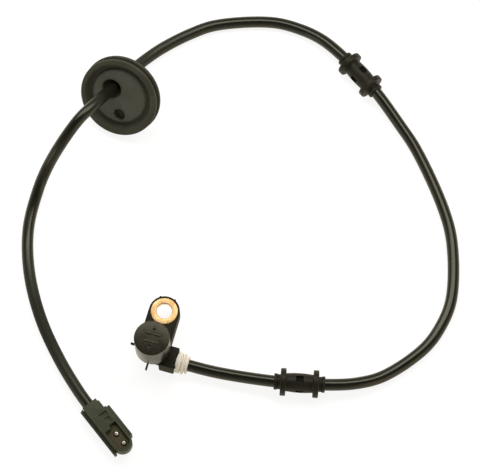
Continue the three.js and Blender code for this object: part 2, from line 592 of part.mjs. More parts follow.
function connectorHousing() {
  const outer = SOCKET_RADIUS + SOCKET_WALL;
  const centre = PLUG_LENGTH - outer;
  const inside = TAIL_WIDTH - TAIL_NOTCH;
  const deck = new THREE.Shape();
  deck.moveTo(0, RAIL_WIDTH);
  deck.lineTo(centre, RAIL_WIDTH);
  deck.lineTo(centre, SOCKET_CENTRE - outer);
  deck.absarc(centre, SOCKET_CENTRE, outer, -Math.PI / 2, Math.PI / 2);
  deck.lineTo(centre, PLUG_WIDTH - RAIL_WIDTH);
  deck.lineTo(TAIL_LENGTH, PLUG_WIDTH - RAIL_WIDTH);
  deck.lineTo(TAIL_LENGTH, inside);
  deck.lineTo(0, inside);
  const rails = polygon([
    [TAIL_NOTCH / 2, 0], [LEFT_RAIL_END, 0], [LEFT_RAIL_END, RAIL_WIDTH], [RIGHT_RAIL_END, RAIL_WIDTH],
    [RIGHT_RAIL_END, PLUG_WIDTH], [TAIL_LENGTH, PLUG_WIDTH], [TAIL_LENGTH, TAIL_WIDTH],
    [TAIL_NOTCH, TAIL_WIDTH], [TAIL_NOTCH, inside], [0, inside], [0, TAIL_NOTCH], [TAIL_NOTCH / 2, TAIL_NOTCH],
  ]);
  let housing = extruded(deck, 0, PLUG_HEIGHT, ARC_STEPS).add(extruded(rails, 0, RAIL_HEIGHT));
  const socket = socketOutline(SOCKET_RADIUS, SOCKET_REAR, SOCKET_KEY_REAR);
  housing = housing.subtract(extruded(socket, SOCKET_FLOOR, PLUG_HEIGHT + PAST, ARC_STEPS));
  for (const [place, depth] of [[LATCH_POCKET, LATCH_POCKET_DEPTH], [CATCH_POCKET, CATCH_POCKET_DEPTH]]) {
    housing = housing.subtract(block(...place, PLUG_HEIGHT - depth, PLUG_HEIGHT + PAST));
  }
  const sealBore = lyingAlongX(disc(CABLE_BORE + SEAL_THICKNESS + GAP, -PAST, CHANNEL_START));
  housing = housing.subtract(sealBore.translate([0, PLUG_CABLE_OFFSET, PLUG_CABLE_HEIGHT]));
  const start = CHANNEL_START - GAP;
  const side = SOCKET_CENTRE + SOCKET_RADIUS;
  const channel = block(start, SOCKET_REAR + PAST, CHANNEL_LEFT, side, SOCKET_FLOOR, CHANNEL_TOP);
  const barrelRoom = block(start, SOCKET_KEY_REAR, CHANNEL_LEFT, CHANNEL_RIGHT, SOCKET_FLOOR, CHANNEL_TOP);
  return housing.subtract(channel).subtract(barrelRoom);
}

function pinCarrier() {
  const bottom = SOCKET_FLOOR + STRIP_THICKNESS + 2 * GAP;
  const start = SOCKET_REAR + GAP;
  const outline = socketOutline(SOCKET_RADIUS - GAP, start, start);
  let plate = extruded(outline, bottom, bottom + CARRIER_PLATE, ARC_STEPS);
  for (const place of PIN_PLACES) {
    plate = plate.subtract(disc(PIN_RADIUS + GAP, 0, PLUG_HEIGHT, FINE_STEPS).translate([place, PIN_ROW, 0]));
  }
  return plate;
}

// A contact: the round pin, the flat strip along the floor and the crimp barrel round its core
function contactPin(index) {
  const place = PIN_PLACES[index];
  const row = BARREL_ROWS[index];
  const bottom = SOCKET_FLOOR + GAP;
  const top = bottom + STRIP_THICKNESS;
  const outer = CORE_RADIUS + GAP + CRIMP_WALL;
  const pin = turned([
    [0, bottom], [PIN_RADIUS, bottom], [PIN_RADIUS, PIN_TOP - PIN_DOME],
    [PIN_RADIUS * 0.8, PIN_TOP - PIN_DOME / 3], [PIN_RADIUS * 0.4, PIN_TOP], [0, PIN_TOP],
  ], FINE_STEPS).translate([place, PIN_ROW, 0]);
  const strip = block(BARREL_START, place, row - STRIP_WIDTH / 2, row + STRIP_WIDTH / 2, bottom, top);
  const [near, far] = [Math.min(row, PIN_ROW), Math.max(row, PIN_ROW)];
  const link = block(place - STRIP_WIDTH, place, near, far, bottom, top);
  const barrel = lyingAlongX(turned([
    [outer - CRIMP_WALL, BARREL_START], [outer, BARREL_START], [outer, BARREL_START + BARREL_LENGTH],
    [outer - CRIMP_WALL, BARREL_START + BARREL_LENGTH],
  ], FINE_STEPS)).translate([0, row, bottom + outer]);
  return pin.add(strip).add(link).add(barrel);
}

function plugCore(index) {
  const row = BARREL_ROWS[index];
  const start = PLUG_CABLE_OFFSET + ((index ? 1 : -1) * CORE_SPACING) / 2;
  const level = SOCKET_FLOOR + 2 * GAP + CORE_RADIUS + CRIMP_WALL;
  const middle = [(PLUG_JACKET_END + BARREL_START) / 2, (start + row) / 2, (PLUG_CABLE_HEIGHT + level) / 2];
  return tubeAlong([
    [PLUG_JACKET_END + 2 * GAP, start, PLUG_CABLE_HEIGHT], middle,
    [BARREL_START, row, level], [BARREL_START + BARREL_LENGTH - GAP, row, level],
  ], CORE_RADIUS, CORE_SIDES, CORE_STEPS);
}

function cableSeal() {
  const inner = CABLE_BORE;
  const outer = CABLE_BORE + SEAL_THICKNESS;
  const end = SEAL_START + SEAL_LENGTH;
  const ring = turned([[inner, SEAL_START], [outer, SEAL_START], [outer, end], [inner, end]], SIDE_STEPS);
  return lyingAlongX(ring).translate([0, PLUG_CABLE_OFFSET, PLUG_CABLE_HEIGHT]);
}

function connector() {
  const group = new THREE.Group();
  group.position.set(...PLUG_PLACE, 0);
  group.rotation.z = THREE.MathUtils.degToRad(PLUG_TURN);
  group.add(piece('connector_housing', connectorHousing(), 'plugPlastic'));
  group.add(piece('pin_carrier', pinCarrier(), 'carrierPlastic'));
  group.add(piece('cable_seal', cableSeal(), 'rubber'));
  for (const index of [0, 1]) {
    group.add(piece(`contact_pin_${index + 1}`, contactPin(index), 'tin'));
    group.add(piece(`plug_core_${index + 1}`, plugCore(index), index ? 'coreBlue' : 'coreBrown'));
  }
  return group;
}

function sensorHead() {
  const group = new THREE.Group();
  group.add(piece('head_housing', headHousing(), 'headPlastic'));
  group.add(piece('nose_cap', noseCap(), 'nosePlastic'));
  group.add(piece('mounting_bush', mountingBush(), 'brass'));
  group.add(piece('chip_carrier', chipCarrier(), 'carrierPlastic'));
  group.add(piece('sensor_chip', sensorChip(), 'chipPlastic'));
  group.add(piece('bias_magnet', biasMagnet(), 'magnet'));
  group.add(piece('cable_ferrule', cableFerrule(), 'naturalNylon'));
  [-1, 1].forEach((side, index) => {
    group.add(piece(`chip_lead_${index + 1}`, chipLead(side), 'tin'));
    group.add(piece(`core_crimp_${index + 1}`, coreCrimp(side), 'tin'));
    group.add(piece(`head_core_${index + 1}`, headCore(side), index ? 'coreBlue' : 'coreBrown'));
  });
  return group;
}

const sensor = new THREE.Group();
const layout = new THREE.Group();
layout.position.set(-HEAD_CENTRE_X, -HEAD_CENTRE_Y, 0);
layout.add(sensorHead());
layout.add(piece('cable_jacket', tubeAlong(ROUTE, CABLE_RADIUS, CABLE_SIDES, CABLE_STEPS), 'cableJacket'));
layout.add(placedSleeve('lower_sleeve', LOWER_SLEEVE_INDEX, LOWER_SLEEVE_TURN));
layout.add(placedSleeve('upper_sleeve', UPPER_SLEEVE_INDEX, UPPER_SLEEVE_TURN));
layout.add(placedGrommet());
layout.add(connector());
sensor.add(layout);

export default sensor;
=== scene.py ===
"""A wheel speed sensor with its cable, body grommet, bracket sleeves and two pin connector, dressed and lit."""

import logging
from dataclasses import dataclass
from enum import Enum
from math import asin, cos, pi, radians, sin, tan
from typing import Any, Callable

import bmesh
import bpy
from bpy.types import Material, Mesh, Node, NodeSocket as Socket, NodeTree, Object, World
from mathutils import Matrix, Vector


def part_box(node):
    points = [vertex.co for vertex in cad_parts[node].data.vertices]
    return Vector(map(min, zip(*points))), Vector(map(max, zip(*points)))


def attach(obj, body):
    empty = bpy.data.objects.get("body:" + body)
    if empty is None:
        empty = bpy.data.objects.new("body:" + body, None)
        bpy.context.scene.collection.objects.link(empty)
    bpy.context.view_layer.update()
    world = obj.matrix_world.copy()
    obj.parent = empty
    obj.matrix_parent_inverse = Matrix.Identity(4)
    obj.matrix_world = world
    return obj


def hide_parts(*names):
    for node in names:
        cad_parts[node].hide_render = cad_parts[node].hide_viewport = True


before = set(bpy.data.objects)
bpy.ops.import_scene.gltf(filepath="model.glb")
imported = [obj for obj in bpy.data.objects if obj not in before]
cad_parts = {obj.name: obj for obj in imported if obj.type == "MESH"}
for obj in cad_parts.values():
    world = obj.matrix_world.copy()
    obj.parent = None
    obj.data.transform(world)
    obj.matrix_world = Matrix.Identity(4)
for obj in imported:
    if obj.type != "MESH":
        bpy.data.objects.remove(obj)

log = logging.getLogger("wheel_speed_sensor")

MM = 0.001
BODY = "root"
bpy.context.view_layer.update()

Point = tuple[float, float]
Corner = tuple[float, float, float]
Inputs = dict[str, Any]


# Placing and measuring


def head_origin() -> Vector:
    """The foot of the nose's axis on the floor, in millimetres in the row frame."""
    low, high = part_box("nose_cap")
    return Vector(((low.x + high.x) / 2, (low.y + high.y) / 2, 0)) / MM


HEAD = head_origin()


def in_row(place: Vector) -> Vector:
    """Turns a place in millimetres from the foot of the nose's axis into one in metres in the row frame."""
    return (place + HEAD) * MM


def add_object(name: str, data: Any) -> Object:
    """Puts a new object with this data in the scene."""
    thing = bpy.data.objects.new(name, data)
    bpy.context.scene.collection.objects.link(thing)
    return thing


# Shapes: closed meshes in millimetres

NO_LENGTH = 1e-5
WELD = 1e-4
NEARLY_STRAIGHT = pi - 0.02
ARC_SHARE = 0.49  # an arc takes up at most this share of each edge beside it
SHARP = radians(50)


class Join(Enum):
    """How a second solid changes the first one."""

    UNITE = "UNION"
    CUT = "DIFFERENCE"


def rounded(corners: list[Corner], steps: int = 4) -> list[Point]:
    """Rounds the corners of a closed outline.

    Args:
        corners: x, y and corner radius of each corner, in order.
        steps: how many short edges make a quarter turn.

    Returns:
        The outline with an arc at each corner that has a radius.
    """
    outline: list[Point] = []
    for index, (x, y, radius) in enumerate(corners):
        here = Vector((x, y))
        before = Vector(corners[index - 1][:2]) - here
        after = Vector(corners[(index + 1) % len(corners)][:2]) - here
        plain = radius <= 0 or min(before.length, after.length) < NO_LENGTH
        angle = pi if plain else before.angle(after)
        if angle > NEARLY_STRAIGHT:
            outline.append((x, y))
            continue
        reach = min(radius / tan(angle / 2), before.length * ARC_SHARE, after.length * ARC_SHARE)
        back, on = before.normalized(), after.normalized()
        middle = here + (back + on).normalized() * (reach * tan(angle / 2) / sin(angle / 2))
        first = here + back * reach - middle
        sweep = first.angle_signed(here + on * reach - middle)
        pieces = max(2, round(steps * (pi - angle) / (pi / 2)))
        for step in range(pieces + 1):
            turn = -sweep * step / pieces
            outline.append((
                middle.x + first.x * cos(turn) - first.y * sin(turn),
                middle.y + first.x * sin(turn) + first.y * cos(turn),
            ))
    return outline


def arc(x: float, y: float, radius: float, start: float, sweep: float, steps: int) -> list[Point]:
    """Points on an arc about x and y, from an angle on over a sweep."""
    turns = (start + sweep * step / steps for step in range(steps + 1))
    return [(x + radius * cos(a), y + radius * sin(a)) for a in turns]


def closed_mesh(bm: bmesh.types.BMesh) -> Mesh:
    """Turns a bmesh into a mesh with its faces outward, and frees it."""
    bmesh.ops.remove_doubles(bm, verts=bm.verts, dist=WELD)
    bmesh.ops.recalc_face_normals(bm, faces=bm.faces)
    mesh = bpy.data.meshes.new("solid")
    bm.to_mesh(mesh)
    bm.free()
    return mesh


def turned(profile: list[Point], flats: int = 96) -> Mesh:
    """Turns a closed profile about Z.

    Args:
        profile: radius and height of each point, in order.
        flats: how many flats make the full turn.

    Returns:
        A closed mesh.
    """
    bm = bmesh.new()
    turns = [2 * pi * i / flats for i in range(flats)]
    rings = []
    for radius, height in profile:
        if radius < NO_LENGTH:
            rings.append([bm.verts.new((0, 0, height))] * flats)
        else:
            rings.append([bm.verts.new((radius * cos(a), radius * sin(a), height)) for a in turns])
    for index, ring in enumerate(rings):
        following = rings[(index + 1) % len(rings)]
        for i in range(flats):
            j = (i + 1) % flats
            corners = list(dict.fromkeys((ring[i], ring[j], following[j], following[i])))
            if len(corners) > 2:
                bm.faces.new(corners)
    return closed_mesh(bm)


def rod(radius: float, low: float, high: float, flats: int, edge: float = 0.0, steps: int = 4) -> Mesh:
    """A round rod on Z between two levels, with its upper edge rounded in this many steps."""
    return turned(rounded([(0, low, 0), (radius, low, 0), (radius, high, edge), (0, high, 0)], steps), flats)


def prism(
    outline: list[Point], bottom: float, top: float, edge: float = 0.0, foot: list[Point] | None = None
) -> Mesh:
    """Raises an outline into a solid with rounded edges.

    Args:
        outline: the corners in order.
        bottom: the level of its lower face.
        top: the level of its upper face.
        edge: the radius of its edges.
        foot: the corners of its lower face, where they differ from the outline's.

    Returns:
        A closed mesh.
    """
    bm = bmesh.new()
    lower = [bm.verts.new((x, y, bottom)) for x, y in foot or outline]
    upper = [bm.verts.new((x, y, top)) for x, y in outline]
    bm.faces.new(lower[::-1])
    bm.faces.new(upper)
    for i in range(len(outline)):
        j = (i + 1) % len(outline)
        bm.faces.new((lower[i], lower[j], upper[j], upper[i]))
    bm.normal_update()
    if edge > 0:
        sharp = [e for e in bm.edges if e.calc_face_angle(0) > SHARP]
        bmesh.ops.bevel(bm, geom=sharp, offset=edge, segments=3, profile=0.5, affect="EDGES", clamp_overlap=True)
    return closed_mesh(bm)


def block(low: Corner, high: Corner, edge: float = 0.0) -> Mesh:
    """A block between two corners, with rounded edges."""
    outline = [(low[0], low[1]), (high[0], low[1]), (high[0], high[1]), (low[0], high[1])]
    return prism(outline, low[2], high[2], edge)


def spin(degrees: float, axis: str = "Z") -> Matrix:
    """A turn about one axis."""
    return Matrix.Rotation(radians(degrees), 4, axis)


def moved(mesh: Mesh, matrix: Matrix) -> Mesh:
    """Moves a mesh's points and returns it."""
    mesh.transform(matrix)
    return mesh


def shifted(mesh: Mesh, x: float, y: float, z: float = 0.0) -> Mesh:
    """Shifts a mesh's points and returns it."""
    return moved(mesh, Matrix.Translation((x, y, z)))


def along_x(mesh: Mesh) -> Mesh:
    """Lays a mesh that stands on Z along X."""
    return moved(mesh, spin(90, "Y"))


def carved(base: Mesh, added: list[Mesh], removed: list[Mesh]) -> Mesh:
    """Unites solids with a base, and then cuts others from it.

    Args:
        base: the solid that changes.
        added: the solids that it takes in.
        removed: the solids that it is cut by.

    Returns:
        The new closed mesh.
    """
    for how, tool in [(Join.UNITE, tool) for tool in added] + [(Join.CUT, tool) for tool in removed]:
        first, second = add_object("base", base), add_object("tool", tool)
        change = first.modifiers.new("join", "BOOLEAN")
        change.operation = how.value
        change.solver = "EXACT"
        change.object = second
        bpy.context.view_layer.update()
        base = bpy.data.meshes.new_from_object(first.evaluated_get(bpy.context.evaluated_depsgraph_get()))
        bpy.data.objects.remove(first)
        bpy.data.objects.remove(second)
    return base


# Finishes


def linear(hex_colour: str) -> tuple[float, float, float, float]:
    """Turns an sRGB hex colour into linear red, green, blue and alpha."""
    channels = [int(hex_colour[i:i + 2], 16) / 255 for i in (1, 3, 5)]
    red, green, blue = (c / 12.92 if c <= 0.04045 else ((c + 0.055) / 1.055) ** 2.4 for c in channels)
    return red, green, blue, 1.0


def per_metre(width: float) -> float:
    """The texture scale at which one feature is this many millimetres wide."""
    return 1.0 / (width * MM)


@dataclass(frozen=True)
class Nodes:
    """A node tree, with one call for each kind of node that repeats.

    Attributes:
        tree: the node tree.
    """

    tree: NodeTree

    def add(self, kind: str, inputs: dict[Any, Any] | None = None, **settings: Any) -> Node:
        """Adds one node with its settings and links.

        Args:
            kind: the node's type, after the word ShaderNode.
            inputs: a value, or the socket to link from, for each input by name or number.
            settings: the node's own properties.

        Returns:
            The new node.
        """
        node = self.tree.nodes.new("ShaderNode" + kind)
        for name, value in settings.items():
            setattr(node, name, value)
        for key, value in (inputs or {}).items():
            if isinstance(value, Socket):
                self.tree.links.new(value, node.inputs[key])
            else:
                node.inputs[key].default_value = value
        return node

    def noise(self, place: Socket, width: float, detail: float, roughness: float = 0.5) -> Socket:
        """Cloudy noise whose features are this many millimetres wide."""
        return self.add("TexNoise", {
            "Vector": place, "Scale": per_metre(width), "Detail": detail, "Roughness": roughness,
        }).outputs[0]

    def span(self, value: Socket, start: float, end: float, low: float, high: float) -> Socket:
        """Carries a value over from the span between start and end to the one between low and high."""
        return self.add("MapRange", {
            "Value": value, "From Min": start, "From Max": end, "To Min": low, "To Max": high,
        }).outputs[0]

    def math(self, operation: str, first: Socket, second: Any, **settings: Any) -> Socket:
        """Adds or multiplies two values."""
        return self.add("Math", {0: first, 1: second}, operation=operation, **settings).outputs[0]

    def bump(self, height: Socket, strength: float, depth: float) -> Socket:
        """Turns heights into a normal, for a relief this many millimetres deep."""
        return self.add("Bump", {"Height": height, "Strength": strength, "Distance": depth * MM}).outputs[0]


def empty_nodes(owner: Material | World) -> Nodes:
    """Switches the nodes of a material or world on, and clears them."""
    owner.use_nodes = True
    owner.node_tree.nodes.clear()
    return Nodes(owner.node_tree)


@dataclass(frozen=True)
class Finish:
    """What every finish has.

    Attributes:
        name: common name and process.
        colour: main sRGB colour.
        second_colour: sRGB colour of the patches that differ, by flow, bloom or wear.
        roughness: from mirror to matte.
    """

    name: str
    colour: str
    second_colour: str
    roughness: float

    def surface(self, nodes: Nodes, place: Socket) -> Inputs:
        """Adds the finish's own nodes and returns the shader's inputs."""
        raise NotImplementedError

    def mottled(self, nodes: Nodes, pattern: Socket, start: float, end: float) -> Socket:
        """Blends the two colours while a pattern goes from start to end."""
        return nodes.add("Mix", {
            0: nodes.span(pattern, start, end, 0.0, 1.0), 6: linear(self.colour), 7: linear(self.second_colour),
        }, data_type="RGBA").outputs[2]

    def rubbed(self, nodes: Nodes, pattern: Socket, span: Point, less: float, more: float) -> Socket:
        """Lets the roughness go from a little less to a little more while a pattern goes over a span."""
        return nodes.span(pattern, *span, self.roughness - less, self.roughness + more)

    def material(self) -> Material:
        """Builds the node material."""
        material = bpy.data.materials.new(self.name)
        nodes = empty_nodes(material)
        place = nodes.add("TexCoord").outputs["Object"]
        shader = nodes.add("BsdfPrincipled", self.surface(nodes, place))
        nodes.add("OutputMaterial", {"Surface": shader.outputs[0]})
        return material


@dataclass(frozen=True)
class Polymer(Finish):
    """What plastics and rubbers have.

    Attributes:
        grain: width in millimetres of the texture that the mould or die leaves.
        relief: depth of that texture in millimetres.
        specular: how strongly it mirrors.
        tint: sRGB colour of its mirror light.
    """

    grain: float = 0.35
    relief: float = 0.02
    specular: float = 0.3
    tint: str = "#EAE3CB"

    def mirror(self) -> Inputs:
        """The shader's inputs for what it mirrors."""
        return {"IOR": 1.5, "Specular IOR Level": self.specular, "Specular Tint": linear(self.tint)}


@dataclass(frozen=True)
class MouldedPlastic(Polymer):
    """Filled thermoplastic out of a steel mould, with the mould's fine texture and slow flow marks.

    Attributes:
        glow: share of light that passes under the surface.
    """

    glow: float = 0.0

    def surface(self, nodes: Nodes, place: Socket) -> Inputs:
        """Flow marks in the colour and the roughness, and the mould's texture in the relief."""
        flow = nodes.noise(place, 6, 3.0, 0.55)
        return {
            "Base Color": self.mottled(nodes, flow, 0.35, 0.65),
            "Roughness": self.rubbed(nodes, flow, (0.3, 0.7), 0.05, 0.06),
            "Normal": nodes.bump(nodes.noise(place, self.grain, 2.0, 0.6), 0.6, self.relief),
            "Subsurface Weight": self.glow, "Subsurface Scale": 1.2 * MM, **self.mirror(),
        }


@dataclass(frozen=True)
class MouldedRubber(Polymer):
    """Soft rubber out of a mould, with a fine grain and a pale bloom in clouds."""

    grain: float = 0.45
    relief: float = 0.03

    def surface(self, nodes: Nodes, place: Socket) -> Inputs:
        """Clouds of bloom in the colour and the roughness, and two sizes of grain in the relief."""
        cloud = nodes.noise(place, 9, 5.0, 0.6)
        grain = nodes.add("TexVoronoi", {"Vector": place, "Scale": per_metre(self.grain)}).outputs[0]
        height = nodes.math("ADD", grain, nodes.noise(place, self.grain * 2.5, 4.0))
        return {
            "Base Color": self.mottled(nodes, cloud, 0.38, 0.72),
            "Roughness": self.rubbed(nodes, cloud, (0.3, 0.7), 0.06, 0.06),
            "Normal": nodes.bump(height, 0.5, self.relief),
            "Sheen Weight": 0.04, "Sheen Roughness": 0.5, **self.mirror(),
        }


@dataclass(frozen=True)
class ExtrudedJacket(Polymer):
    """Glossy plasticised jacket drawn over the cores, with faint long waves, and duller where it was handled.

    Attributes:
        left: the span of X, in metres, over which the dull left side ends.
        low: the span of Y, in metres, over which its lower dull stretch ends.
        high: the span of Y, in metres, over which its upper dull stretch begins.
    """

    grain: float = 16.0
    relief: float = 0.12
    specular: float = 0.5
    tint: str = "#EFF1DC"
    left: Point = (-0.045, -0.015)
    low: Point = (0.0, 0.025)
    high: Point = (0.075, 0.1)

    def surface(self, nodes: Nodes, place: Socket) -> Inputs:
        """Waves in the colour and the relief, and handling marks and two dull stretches in the roughness."""
        wave = nodes.noise(place, self.grain, 2.0)
        marks = self.rubbed(nodes, nodes.noise(place, 1.1, 6.0, 0.7), (0.35, 0.75), 0.03, 0.07)
        across, along, _ = nodes.add("SeparateXYZ", {0: place}).outputs
        low, high = nodes.span(along, *self.low, 0.5, 0.0), nodes.span(along, *self.high, 0.0, 0.26)
        worn = nodes.math("MULTIPLY", nodes.span(across, *self.left, 1.0, 0.0), nodes.math("ADD", low, high))
        return {
            "Base Color": self.mottled(nodes, wave, 0.35, 0.7),
            "Roughness": nodes.math("ADD", marks, worn),
            "Normal": nodes.bump(wave, 0.4, self.relief), **self.mirror(),
        }


@dataclass(frozen=True)
class TurnedMetal(Finish):
    """Metal with the fine rings of a lathe tool or a dull dipped coat.

    Attributes:
        ring: spacing of the tool's rings in millimetres, or 0 for none.
    """

    ring: float = 0.0

    def surface(self, nodes: Nodes, place: Socket) -> Inputs:
        """Dull patches in the colour and the roughness, and rings or patches in the relief."""
        patch = height = nodes.noise(place, 3, 4.0, 0.65)
        if self.ring:
            height = nodes.add("TexWave", {
                "Vector": place, "Scale": per_metre(self.ring) / (2 * pi), "Distortion": 0.4, "Detail": 1.0,
            }, wave_type="RINGS", rings_direction="Z").outputs[1]
        return {
            "Base Color": self.mottled(nodes, patch, 0.35, 0.7),
            "Metallic": 1.0,
            "Roughness": self.rubbed(nodes, patch, (0.3, 0.7), 0.06, 0.1),
            "Normal": nodes.bump(height, 0.35, 0.02),
        }


# Glass filled polyamide, moulded: satin, with a slight greenish brown cast and a fine spark texture.
HEAD_POLYAMIDE = MouldedPlastic("polyamide_moulded_satin", "#1B1B12", "#242418", 0.56, specular=0.16)
# The same polyamide from a polished mould: the nose wall mirrors the table at a glancing view.
NOSE_POLYAMIDE = MouldedPlastic(
    "polyamide_moulded_smooth", "#1B1B13", "#222118", 0.24, grain=0.6, relief=0.006, specular=0.42,
)
# Unfilled polyamide, moulded: milky and off white, a little light passes below the surface.
NATURAL_POLYAMIDE = MouldedPlastic(
    "polyamide_natural_moulded", "#F0EADE", "#F5F1E7", 0.42, grain=0.5, relief=0.01, specular=0.5, glow=0.08,
)
# Polybutylene, moulded with a matte texture: grey green, its edges catch a soft light.
PLUG_POLYESTER = MouldedPlastic("polybutylene_moulded_matte", "#373D2F", "#3E4437", 0.5, grain=0.4)
# Glass filled resin, moulded: dark and brownish, at the bottom of the socket and under the chip.
CARRIER_RESIN = MouldedPlastic("glass_resin_moulded", "#454130", "#504A38", 0.55)
# Epoxy chip body, transfer moulded: black and dull.
CHIP_EPOXY = MouldedPlastic("epoxy_transfer_moulded", "#151515", "#1C1C1C", 0.5, grain=0.2)
# Core insulation, extruded: plain coloured plastic.
BROWN_CORE = MouldedPlastic("polyethylene_extruded_brown", "#6B3D22", "#75452A", 0.4, relief=0.005)
BLUE_CORE = MouldedPlastic("polyethylene_extruded_blue", "#26476F", "#2C5080", 0.4, relief=0.005)
# EPDM rubber, moulded, thick section: dark slate grey with a faint bloom.
GROMMET_EPDM = MouldedRubber("epdm_rubber_moulded_grey", "#35362C", "#414238", 0.6)
# Painted light: the same rubber, paler and greyer, on the plateau inside the rim, so the rim and channel round it read
# darker.
GROMMET_PAINTED_LIGHT = MouldedRubber("epdm_rubber_painted_plateau_light", "#464941", "#52554D", 0.62)
# EPDM rubber, moulded, thin section: blacker, its crowned faces show a dull line of light.
SLEEVE_EPDM = MouldedRubber("epdm_rubber_moulded_black", "#15140E", "#1E1D16", 0.5)
# Painted shade: the same rubber in the pockets, given a near black colour and little shine, so the pockets read dark.
POCKET_SHADE_EPDM = MouldedRubber("epdm_rubber_painted_pocket_shade", "#0E0E0A", "#12120D", 0.7, specular=0.15)
# Polyurethane jacket, extruded: near black and glossy, brownish where light grazes it.
CABLE_JACKET = ExtrudedJacket("polyurethane_extruded", "#0E0F08", "#15130A", 0.19)
# Steel with a yellow passivated coat, turned: straw yellow, matte, with faint tool rings.
YELLOW_BUSH = TurnedMetal("yellow_passivated_steel_turned", "#D2B183", "#C29B68", 0.42, ring=0.35)
# Painted reflection: the same steel in its bore, given a near white mirror colour, so it carries the table's white up
# to the rim.
BORE_PAINTED_REFLECTION = TurnedMetal("steel_bore_painted_white_reflection", "#FFFCF2", "#F6F1E6", 0.1)
# Tinned bronze, drawn and pressed: soft silver with small dull patches.
TINNED_BRONZE = TurnedMetal("tinned_bronze_drawn", "#BDBAAD", "#A3A094", 0.32)
# Sintered magnet, ground: dark grey metal.
MAGNET_BLOCK = TurnedMetal("sintered_magnet_ground", "#5A5957", "#4B4A48", 0.5)


# Pieces

SMOOTH = radians(36)  # faces that meet at less than this are shaded as one surface


def declare_piece(piece: Object, node: str) -> None:
    """Attaches a piece to the body that it rides on, and hides the CAD node that it replaces."""
    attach(piece, BODY)
    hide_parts(node)


def make_piece(name: str, mesh: Mesh, finish: Finish, place: Matrix, node: str) -> Object:
    """Puts a shape in the scene as a piece of the sensor.

    Args:
        name: the piece's name.
        mesh: its shape, in millimetres.
        finish: its finish.
        place: turn and place in millimetres, from the head's axis.
        node: the CAD node that it replaces.

    Returns:
        The new object.
    """
    mesh.transform(Matrix.Scale(MM, 4) @ place.to_3x3().to_4x4())
    mesh.name = name
    mesh.materials.clear()
    mesh.materials.append(finish.material())
    mesh.shade_smooth()
    mesh.set_sharp_from_angle(angle=SMOOTH)
    piece = add_object(name, mesh)
    piece.matrix_world = Matrix.Translation(in_row(place.translation))
    declare_piece(piece, node)
    log.info("%s: %d faces in %s", name, len(mesh.polygons), finish.name)
    return piece


def refinish(piece: Object, finish: Finish, place: Matrix, chosen: Callable[[Vector], bool]) -> None:
    """Gives some faces of a piece a second finish.

    Args:
        piece: the piece.
        finish: the second finish.
        place: the turn and place that the piece was made with.
        chosen: says of a face's middle, in millimetres in the piece's own axes, whether the face changes.
    """
    piece.data.materials.append(finish.material())
    straight = place.to_3x3().inverted()
    for face in piece.data.polygons:
        if chosen(straight @ face.center / MM):
            face.material_index = 1


# Camera, light and floor


def facing(place: Vector, right: Vector, up: Vector, back: Vector) -> Matrix:
    """The placement of a camera or lamp that has these axes."""
    return Matrix.Translation(place) @ Matrix((right, up, back)).transposed().to_4x4()


